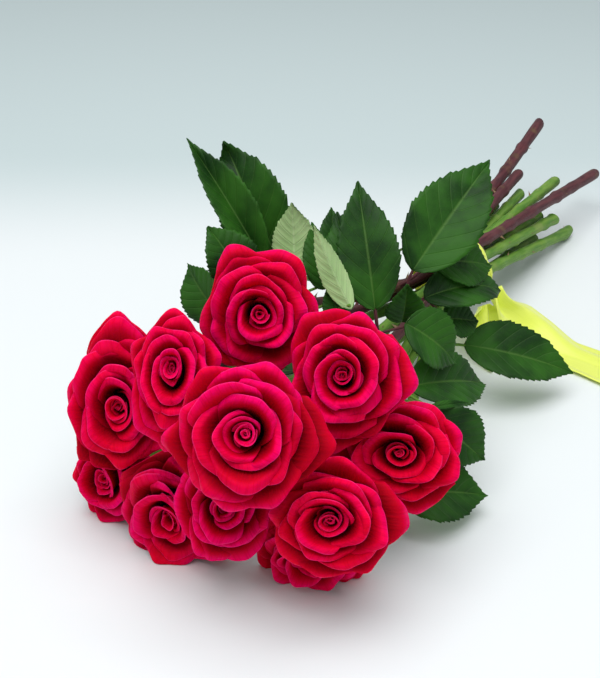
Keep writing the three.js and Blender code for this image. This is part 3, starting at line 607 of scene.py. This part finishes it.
def petal_grid(place, seed, openness):
    """One petal of a bloom 65 mm across. place: 0 is innermost, over 1 hangs back."""
    u = np.linspace(-1, 1, PETAL_COLUMNS + 1)[None, :]
    t = 1 - (1 - np.linspace(0, 1, PETAL_ROWS + 1)[:, None]) ** 1.35
    hollow = mix(0.4, 0.62, (openness - 0.9) / 0.2)
    length = mix(29, 47, smooth((place - 0.05) / hollow)) + 14 * max(place - 1, 0)
    length = length * (1 + 0.06 * chance(seed, 1))
    lean = math.radians(mix(82, 2, place ** 0.52))
    stand = math.radians(mix(99, 84, place ** 2) - 14 * (openness - 1)
                         + mix(2, 8, place) * chance(seed, 6))
    flare = math.radians(58 + 10 * chance(seed, 8)) * place
    roll = math.radians(mix(35, 120, place)) * openness * (1 + 0.25 * chance(seed, 2))
    roll_from = mix(0.97, 0.93, place ** 2) - 0.10 * place * chance(seed, 7) ** 2
    lop = 0.4 * chance(seed, 3)
    point = mix(0.07, 0.21, place) * np.abs(u + 0.3 * lop) ** 1.7
    reach = 1 - point + 0.03 * place * np.exp(-(u / 0.16) ** 2)
    margin = mix(0.0, 0.75, place) * np.abs(u + 0.3 * lop) ** 1.6
    rolled = smooth((t - roll_from) / (1 - roll_from) * mix(1, 1.8, place))
    upright = mix(lean, stand, smooth(t / mix(0.36, 0.5, place)))
    angle = (upright - flare * smooth((t - 0.4) / 0.5)
             - roll * (mix(1.0, 0.58, place) + margin) * rolled)
    step = np.diff(t, axis=0, prepend=0) * length * reach
    radius = np.cumsum(np.cos(angle) * step, axis=0) + 1
    height = np.cumsum(np.sin(angle) * step, axis=0)
    half = mix(11, 27, place ** 0.9) * (0.35 + 0.65 * smooth(t / 0.58))
    spine = radius[:, PETAL_COLUMNS // 2][:, None]
    turn = u * half / np.maximum(spine, mix(4, 9, place))
    ripple = np.sin(4.5 * u + 6 * chance(seed, 4)) + 0.5 * np.sin(10 * u + 6 * chance(seed, 5))
    wave = (0.5 + 1.0 * place) * t ** 3 * ripple
    spread = 3.0 * place * np.abs(u) ** 3 * smooth((t - 0.4) / 0.6)
    out = radius * (1 + mix(0.20, 0.06, place) * u) + 0.4 * wave + spread
    up = height + 0.55 * wave + 5 * place * lop * u * t
    return np.stack((out * np.cos(turn), out * np.sin(turn), up), -1)


def turned(points, angle):
    """Points turned about Z."""
    c, s = math.cos(angle), math.sin(angle)
    x, y, z = points[..., 0], points[..., 1], points[..., 2]
    return np.stack((c * x - s * y, s * x + c * y, z), -1)


petal_look = Look("rose_petal", Specular_IOR_Level=0.03, Subsurface_Weight=0.3,
                  Subsurface_Scale=0.003, Subsurface_Radius=(1.0, 0.05, 0.15))
u, v = petal_look.place()
patch = petal_look.noise(35.0, 2.0)
veins = petal_look.noise(1.0, 3.0, at=petal_look.vector(u * 34, v * 1.6))
# Painted shade: each petal is dark crimson at its foot and brightens towards its rim, standing in
# for the shade that falls deep between the petals.
tone = petal_look.colour(v.step(0.6, 0.98), (0.16, 0.0, 0.003), (0.92, 0.0, 0.03))
# Painted highlight: the upper rims turn a lighter, pinker red in random patches, standing in for
# the pink of the lit rims.
tone = petal_look.colour(v.step(0.75, 0.97) * patch.step(0.25, 0.7), tone, (0.98, 0.0, 0.14))
tone = petal_look.colour(veins.step(0.4, 0.75) * 0.45, tone, (0.50, 0.0, 0.010))
# Painted highlight: a thin bright pink line along the very rim of each petal, standing in for
# light shining through its edge.
tone = petal_look.colour(v.step(0.95, 1.0) * 0.45, tone, (1.0, 0.04, 0.24))
petal_look.set("Base Color", tone)
petal_look.set("Roughness", veins * 0.2 + 0.5)
petal_look.bump(veins + petal_look.noise(120.0, 3.0) + petal_look.noise(500.0, 2.0) * 0.3,
                0.5, 0.0008)

for number, rose in enumerate(ROSES, 1):
    bloom = Shape()
    walls = walls_of(rose)
    azimuth = 2 * math.pi * (0.5 + 0.5 * chance(rose["seed"], 0))
    places = [BUD_REACH * k / BUD_PETALS for k in range(BUD_PETALS)]
    places += [mix(CUP_START, 1, (k / (OPEN_PETALS - 1)) ** 0.9)
               + 0.02 * chance(rose["seed"] + k, 16) for k in range(OPEN_PETALS)]
    places += [1 + GUARD_SPREAD * (k + 1) / GUARD_PETALS for k in range(GUARD_PETALS)]
    nod = 7 * chance(rose["seed"], 14)
    petals = []
    for k, place in enumerate(places):
        azimuth += math.radians(GOLDEN_ANGLE + 10 * chance(rose["seed"] * 7 + k, 9))
        petals.append((place, azimuth))
    for way in LOOSE_PETALS.get(number, ()):
        way = math.radians(way)
        out = rose["seat"].T @ (math.cos(way) * rose["side"] + math.sin(way) * rose["rise"])
        petals.append((LOOSE_PLACE, math.atan2(out[1], out[0])))
    for k, (place, azimuth) in enumerate(petals):
        grid = turned(petal_grid(place, rose["seed"] * 31 + k, rose["open"]), azimuth)
        swing = math.radians(nod * (1 - place)) + math.radians(3 * chance(rose["seed"] + k, 15))
        grid = grid @ np.array(Quaternion((1, 0.6, 0), swing).to_matrix()).T
        grid = grid * rose["size"] + (0, 0, 1.2)
        grid = stretched(grid @ rose["seat"].T, rose) + rose["foot"]
        grid = pressed(grid, walls, 1.5)
        bloom.blade(grid, PETAL_THICKNESS)
    bloom.piece(rose["name"] + "_petals", [petal_look.material], "petals", rose["name"] + "_bloom")

# =====================================================================================
# Leaves. A rose leaf is three or five toothed leaflets on a thin stalk. Each leaflet is
# quilted between its side veins, glossy dark green above and paler below.
# =====================================================================================
# rose: the stem that carries it. start: y where its stalk leaves the stem. Each leaflet is
# foot, tip, the way its upper side faces, width, bend foot to tip, fold of each half and curl of
# the tip back over the upper side in degrees. pairs: small leaflets set in twos along the stalk.
LEAVES = [
    (1, -135, 0, [
        ((-41, -151, 106), (-76, -135, 151), (0.3, -0.8, 0.4), 34, 60, 14, 100),
        ((-41, -164, 107), (-83, -159, 159), (0.6, -0.6, 0.5), 24, 20, 38, 0)]),
    (7, -165, 0, [
        ((-44, -181, 104), (-59, -183, 128), (0.1, -0.4, 0.9), 26, 60, 14, 0),
        ((-56, -175, 78), (-82, -164, 97), (-0.2, -0.9, 0.3), 26, 40, 14, 0)]),
    (3, -178, 0, [
        ((-24, -164, 106), (-30, -155, 135), (-0.3, 0.8, -0.4), 21, 40, 14, 0),
        ((-11, -160, 97), (-23, -148, 124), (0.5, -0.8, 0.2), 15, 30, 14, 0),
        ((11, -176, 99), (-9, -174, 135), (-0.8, 0.5, 0.2), 13, 20, 20, 0),
        ((0, -151, 90), (-19, -129, 123), (0.3, -0.8, 0.4), 20, 30, 14, 0),
        ((-18, -137, 100), (-26, -121, 121), (0.5, -0.5, 0.7), 14, 30, 14, 0),
        ((5, -176, 92), (-3, -172, 106), (0.6, -0.6, 0.4), 13, 30, 14, 0)]),
    (2, -150, 0, [
        ((16, -161, 93), (-7, -133, 142), (0.4, -0.8, 0.5), 29, 30, 14, 0),
        ((27, -151, 84), (46, -133, 59), (0.3, -0.5, 0.8), 30, 40, 14, 0)]),
    (4, -160, 0, [
        ((34, -161, 57), (55, -113, 39), (0.5, -0.4, 0.8), 30, 40, 14, 0),
        ((50, -172, 52), (72, -158, 26), (0.7, -0.7, 0.3), 28, 30, 14, 0),
        ((50, -177, 58), (62, -156, 53), (0.2, -0.5, 0.9), 4, 20, 14, 0)]),
    (2, -92, 0, [
        ((7, -94, 83), (24, -35, 125), (0.3, -0.8, 0.5), 39, 30, 14, 0),
        ((11, -77, 82), (32, -45, 71), (0.3, -0.6, 0.7), 32, 30, 14, 0),
        ((14, -123, 69), (17, -125, 91), (0.5, -0.7, 0.5), 20, 30, 14, 0)]),
    (2, -72, 0, [
        ((12, -89, 66), (39, -48, 58), (0.2, -0.6, 0.8), 26, 80, 14, 0),
        ((21, -85, 55), (35, -69, 49), (0.3, -0.6, 0.7), 22, 30, 14, 0)]),
    (11, -90, 0, [
        ((28, -68, 33), (80, -36, 13), (0.2, -0.5, 0.9), 36, 25, 14, 0)]),
    (11, -196, 0, [
        ((42, -190, 18), (76, -161, 9), (0.2, -0.5, 0.8), 34, 25, 14, 0)]),
    (8, -160, 1, [
        ((-66, -140, 36), (-106, -112, 18), (-0.2, 0.1, 1), 34, 30, 14, 0)]),
    (9, -128, 1, [
        ((-60, -94, 9), (-98, -56, 2), (0, 0, 1), 34, 10, 14, 0)]),
    (10, -140, 0, [
        ((-14, -98, 7), (-22, -44, 2), (0, 0, 1), 32, 10, 14, 0)]),
    (7, -100, 1, [
        ((-34, -68, 50), (-62, -22, 58), (-0.4, 0.1, 0.9), 34, 40, 14, 0)]),
    (1, -62, 0, [
        ((-8, -38, 61), (-19, 11, 75), (-0.2, -0.5, 0.8), 30, 35, 14, 0)]),
]
LEAF_THICKNESS = 0.35
TEETH = 17
ROWS_A_TOOTH = 3
LEAF_COLUMNS = 16
SIDE_VEINS = 8


def leaflet_grid(foot, tip, face, width, bend, fold, curl, seed):
    """A toothed oval leaflet, bent foot to tip, folded along its midrib, its tip curled back."""
    start, chord = np.array(foot, float), np.subtract(tip, foot).astype(float)
    length = np.linalg.norm(chord)
    ahead = chord / length
    up = np.array(face, float)
    up = unit(up - up @ ahead * ahead)
    sideways = np.cross(ahead, up)
    arc = math.radians(bend)
    t = np.linspace(0, 1, TEETH * ROWS_A_TOOTH + 1)[:, None]
    u = np.linspace(-1, 1, LEAF_COLUMNS + 1)[None, :]
    slope = arc * (0.5 - t) + math.radians(curl) * smooth((t - 0.72) / 0.28)
    step = length * arc / 2 / math.sin(arc / 2) / (len(t) - 1)
    along = (np.cumsum(np.cos(slope)) * step)[:, None] - step
    hump = (np.cumsum(np.sin(slope)) * step)[:, None]
    half = width / 2 * np.sin(math.pi * t ** 0.75) ** mix(0.7, 1.2, t) + 0.25
    saw = (t * TEETH) % 1.0
    edge = np.clip((np.abs(u) - 0.8) / 0.2, 0, 1)
    half = half * (1 + (0.085 * saw - 0.03) * edge * np.sin(math.pi * t) ** 0.3)
    lead = 0.02 * length * edge * saw
    raised = half * np.abs(u) * math.sin(math.radians(fold))
    flat = half * u * math.cos(math.radians(fold))
    phase = SIDE_VEINS * (t * 1.02 - 0.26 * np.abs(u) * np.sin(math.pi * t) ** 0.5)
    quilt = (0.55 * np.abs(np.sin(math.pi * phase))
             * np.sin(math.pi * np.clip(np.abs(u), 0, 1)) ** 0.5)
    wavy = 0.03 * width * np.sin(9 * t + 5 * chance(seed, 1) + 1.5 * np.sign(u)) * u ** 2
    lift = raised + quilt + wavy
    over = np.cos(slope)[..., None] * up - np.sin(slope)[..., None] * ahead
    grid = (start + (along + lead)[..., None] * ahead + flat[..., None] * sideways
            + hump[..., None] * up + lift[..., None] * over)
    grid[..., 2] = np.maximum(grid[..., 2], 0.25)
    return grid


def side_leaflets(main, line):
    """The smaller leaflets of a leaf, in twos along its stalk."""
    foot, tip, face, width, bend, fold, curl = main
    up = unit(face)
    length = np.linalg.norm(np.subtract(tip, foot)) * 0.74
    joint = line[int(0.86 * (len(line) - 1))]
    ahead = Vector(unit(line[-1] - joint))
    pair = []
    for hand in (-1, 1):
        way = Quaternion(Vector(up), hand * math.radians(62)) @ ahead
        pair.append((joint, joint + np.array(way) * length, face, width * 0.74, bend, fold, curl))
    return pair


def leaf_look(name, low, high, vein, gloss):
    """Leaf skin: patches of two greens, a pale midrib and side veins, and fine cells."""
    look = Look(name, Specular_IOR_Level=gloss, Subsurface_Weight=0.05, Subsurface_Scale=0.001,
                Subsurface_Radius=(0.3, 1.0, 0.2))
    u, v = look.place()
    off = (u - 0.5).math("ABSOLUTE") * 2
    patch = look.noise(45.0, 3.0)
    cells = look.noise(1400.0, 2.0)
    arch = (v * math.pi).math("SINE") ** 0.5
    phase = (v * 1.02 - off * arch * 0.26) * SIDE_VEINS
    near_vein = (phase * math.pi).math("SINE").math("ABSOLUTE")
    side = 1 - near_vein.step(0.0, 0.16)
    rib = 1 - off.step(0.0, 0.07)
    colour = look.colour(patch.step(0.3, 0.7), low, high)
    colour = look.colour(cells.step(0.5, 0.75) * 0.25, colour, high)
    colour = look.colour((side * 0.14).math("MAXIMUM", rib * 0.4), colour, vein)
    look.set("Base Color", colour)
    look.set("Roughness", patch * 0.2 + 0.36 + cells * 0.1)
    look.bump(near_vein.step(0.0, 0.3) * 0.6 + cells * 0.25 + off.step(0.0, 0.1), 0.5, 0.0005)
    return look.material


leaf_top = leaf_look(
    "leaf_upper", (0.004, 0.027, 0.003), (0.025, 0.108, 0.008), (0.10, 0.21, 0.04), 0.16)
leaf_under = leaf_look(
    "leaf_under", (0.27, 0.43, 0.17), (0.39, 0.54, 0.25), (0.48, 0.61, 0.33), 0.12)

for count, (number, start, pairs, leaflets) in enumerate(LEAVES, 1):
    rose = ROSES[number - 1]
    leaf = Shape()
    root = stem_point(rose, start)
    foot, tip = np.array(leaflets[0][0], float), np.array(leaflets[0][1], float)
    ahead = unit(tip - foot)
    bend_point = foot - ahead * 0.4 * np.linalg.norm(foot - root)
    t = np.linspace(0, 1, 25)[:, None]
    line = (1 - t) ** 2 * root + 2 * (1 - t) * t * bend_point + t ** 2 * (foot + ahead * 2)
    leaf.tube(line, np.linspace(1.2, 0.75, 25), 8, look=2)
    for other in leaflets[1:]:
        foot, tip = np.array(other[0], float), np.array(other[1], float)
        joint = line[np.argmin(np.linalg.norm(line - foot, axis=1))]
        end = foot + unit(tip - foot) * 2
        leaf.tube(np.linspace(joint, end, 6), 0.7, 8, look=2)
    for k, leaflet in enumerate(leaflets + (side_leaflets(leaflets[0], line) if pairs else [])):
        leaf.blade(leaflet_grid(*leaflet, seed=count * 10 + k), LEAF_THICKNESS, 0, 1)
    leaf.piece(f"leaf_{count:02d}", [leaf_top, leaf_under, rose["bark"]], rose["slot"],
               rose["name"] + "_stem")

# =====================================================================================
# Ribbon. One lime yellow satin ribbon, 38 mm wide: gathered round the stems, knotted on
# their right side, with a long tail along the surface and a short second tail.
# =====================================================================================
RIBBON_WIDTH = 38
RIBBON_THICKNESS = 0.25
BAND_RADIUS, BAND_LENGTH = 15.9, 30

satin = Look("lime_satin", Specular_IOR_Level=0.5, Subsurface_Weight=0.25, Subsurface_Scale=0.003,
             Subsurface_Radius=(1.0, 1.0, 0.3), Sheen_Weight=0.3, Anisotropic=0.4)
u, v = satin.place()
weave = satin.noise(1.0, 2.0, at=satin.vector(u * 220, v * 6))
satin.set("Base Color", satin.colour(weave.step(0.2, 0.8), (0.80, 0.91, 0.09), (0.88, 0.97, 0.15)))
satin.set("Roughness", weave * 0.15 + 0.3)
satin.bump(weave, 0.25, 0.0002)


def gathered(centres, across, outward, span, folds, shift):
    """A grid for a ribbon that is drawn narrower than it is: its spare width stands in folds."""
    c = np.linspace(-0.5, 0.5, 49)[None, :, None]
    span = np.broadcast_to(span, (len(centres),)).astype(float)[:, None, None]
    spare = np.maximum((RIBBON_WIDTH / span) ** 2 - 1, 0)
    height = np.sqrt(2 * spare) * span / (2 * math.pi * folds)
    shift = np.broadcast_to(shift, (len(centres),)).astype(float)[:, None, None]
    wave = np.sin(2 * math.pi * (folds * (c + 0.5) + shift))
    return (np.asarray(centres)[:, None] + c * span * np.asarray(across)
            + outward * height * wave)


turn = np.linspace(0, 2 * math.pi, 97)
outward = np.stack((np.sin(turn), 0 * turn, np.cos(turn)), -1)
rings = outward * (BAND_RADIUS + 1.7) + (TIE_SIDE, 0, TIE_HEIGHT)
drift = 0.12 * np.sin(3 * turn)
grid = gathered(rings, (0, 1, 0), outward[:, None] * 0.42, BAND_LENGTH, 4, drift)
grid[-1] = grid[0]
band = Shape()
band.blade(grid, RIBBON_THICKNESS)
band_piece = band.piece("ribbon_band_satin", [satin.material], "ribbon_satin", "ribbon_band")

# Degrees round the stems from the top: the middle of the knot, and how far it reaches each way.
KNOT_TURN, KNOT_REACH = 100, 38
knot = Shape()
t = np.linspace(0, 1, 21)
angle = np.radians(mix(KNOT_TURN - KNOT_REACH, KNOT_TURN + KNOT_REACH, t))
radius = BAND_RADIUS + 2.4 + 2.6 * np.sin(math.pi * t)
way = np.stack((np.sin(angle), 0 * angle, np.cos(angle)), -1)
centres = way * radius[:, None] + (TIE_SIDE, 3, TIE_HEIGHT)
grid = gathered(centres, (0, 1, 0), way[:, None] * 0.9, mix(12, 15, np.sin(math.pi * t)), 4, 0.1)
knot.blade(grid, RIBBON_THICKNESS)
knot_piece = knot.piece("ribbon_knot_satin", [satin.material], "ribbon_satin", "ribbon_knot")


def curve_through(route, count):
    """Evenly spaced points on a smooth line through the route."""
    route = np.asarray(route, float)
    padded = np.vstack((2 * route[0] - route[1], route, 2 * route[-1] - route[-2]))
    fine = []
    for a, b, c, d in zip(padded, padded[1:], padded[2:], padded[3:]):
        for s in np.linspace(0, 1, 20, endpoint=False):
            fine.append(0.5 * ((2 * b) + (c - a) * s + (2 * a - 5 * b + 4 * c - d) * s ** 2
                               + (3 * b - a - 3 * c + d) * s ** 3))
    fine = np.array(fine + [route[-1]])
    along = np.concatenate(([0], np.cumsum(np.linalg.norm(np.diff(fine, axis=0), axis=1))))
    even = np.linspace(0, along[-1], count)
    return np.stack([np.interp(even, along, fine[:, k]) for k in range(3)], -1), along[-1]


# The share of a tail over which it opens out, and the rows of points along it.
TAIL_OPENING, TAIL_ROWS = 0.14, 60


def tail(name, route, across, width, folds, node):
    """A loose end of the ribbon: narrow at the knot, opening out to the given width."""
    centres, length = curve_through(route, TAIL_ROWS)
    across = unit(across)
    ahead = unit(np.gradient(centres, axis=0))
    upward = unit(np.cross(across, ahead))
    upward = upward * np.sign(upward[:, 2:3] + 1e-6)
    t = np.linspace(0, 1, TAIL_ROWS)
    span = width * mix(0.3, 1, smooth(t / TAIL_OPENING))
    grid = gathered(centres, across, upward[:, None] * 0.75, span, folds, 0.15 + 0.2 * t)
    grid[..., 2] = np.maximum(grid[..., 2] + 0.4, 0.3)
    shape = Shape()
    shape.blade(grid, RIBBON_THICKNESS)
    piece = shape.piece(name, [satin.material], "ribbon_satin", node)
    return piece


tail("ribbon_long_tail_satin",
     [(20, 2, 34), (25, 1, 27), (33, 7, 18), (45, 11, 9), (64, 6, 1), (86, 0, 0), (120, -14, 0),
      (166, -36, 0)],
     (0.28, 1, 0), RIBBON_WIDTH * 0.9, 1.5, "ribbon_long_tail")
tail("ribbon_short_tail_satin",
     [(16, -4, 25), (20, -10, 15), (27, -17, 5), (38, -24, 0)],
     (0.5, 1, 0), RIBBON_WIDTH * 0.6, 2, "ribbon_short_tail")

# =====================================================================================
# Floor. A plain pale surface that fills the camera's picture. It turns greyer beyond the
# bunch, along the way the camera looks: painted shade, where the light falls off towards
# the back.
# =====================================================================================
AZIMUTH, PITCH = math.radians(27), math.radians(28)
FLOOR_REACH = 6
FLOOR_CORNERS = [(-1, -1), (1, -1), (1, 1), (-1, 1)]
floor_mesh = bpy.data.meshes.new("floor")
floor_mesh.from_pydata([(x * FLOOR_REACH, y * FLOOR_REACH, 0) for x, y in FLOOR_CORNERS],
                       [], [(0, 1, 2, 3)])
floor = linked("floor", floor_mesh)
distance = [-math.sin(AZIMUTH) * v.co.x + math.cos(AZIMUTH) * v.co.y for v in floor_mesh.vertices]
layer = floor_mesh.uv_layers.new(name="place")
for corner in floor_mesh.loops:
    layer.data[corner.index].uv = (0, distance[corner.vertex_index])
floor_look = Look("pale_floor", Roughness=0.7, Specular_IOR_Level=0.2)
u, v = floor_look.place()
# Painted shade: the floor darkens to grey with distance beyond the bunch, standing in for the
# light falling off.
floor_look.set("Base Color", floor_look.colour(
    v.step(0.13, 0.36), (0.75, 0.785, 0.80), (0.54, 0.625, 0.635)))
floor_mesh.materials.append(floor_look.material)

# =====================================================================================
# Light. One wide soft light stands above the blooms and is turned to the middle of the
# bunch, and a pale sky fills the shadows.
# =====================================================================================
LIGHT_PLACE, LIGHT_AIM = Vector((0, -0.4, 1.5)), Vector((0, -0.12, 0.05))
LIGHT_POWER, LIGHT_SIZE = 27, 1.6
SKY_COLOUR, SKY_STRENGTH = (0.90, 0.94, 0.95, 1), 0.5

lamp = bpy.data.lights.new("light_above", "AREA")
lamp.energy, lamp.size = LIGHT_POWER, LIGHT_SIZE
light = linked("light_above", lamp)
light.location = LIGHT_PLACE
light.rotation_euler = (LIGHT_AIM - LIGHT_PLACE).to_track_quat("-Z", "Y").to_euler()
world = bpy.data.worlds.new("sky")
bpy.context.scene.world = world
world.use_nodes = True
world.node_tree.nodes["Background"].inputs[0].default_value = SKY_COLOUR
world.node_tree.nodes["Background"].inputs[1].default_value = SKY_STRENGTH

# =====================================================================================
# Camera. It looks down along the bunch from the blooms' end, a little from the right. Its
# place, in millimetres from the same point as the stems, was fitted to the photograph.
# =====================================================================================
CAMERA_PLACE, CAMERA_LENS = Vector((227, -651, 361)), 69

camera = bpy.data.cameras.new("camera")
camera.lens = CAMERA_LENS
camera_thing = linked("camera", camera)
camera_thing.location = (CAMERA_PLACE + Vector(TIE_PLACE)) / 1000
look_way = Vector((-math.sin(AZIMUTH) * math.cos(PITCH), math.cos(AZIMUTH) * math.cos(PITCH),
                   -math.sin(PITCH)))
camera_thing.rotation_euler = look_way.to_track_quat("-Z", "Y").to_euler()
bpy.context.scene.camera = camera_thing
bpy.context.scene.view_settings.view_transform = "Standard"
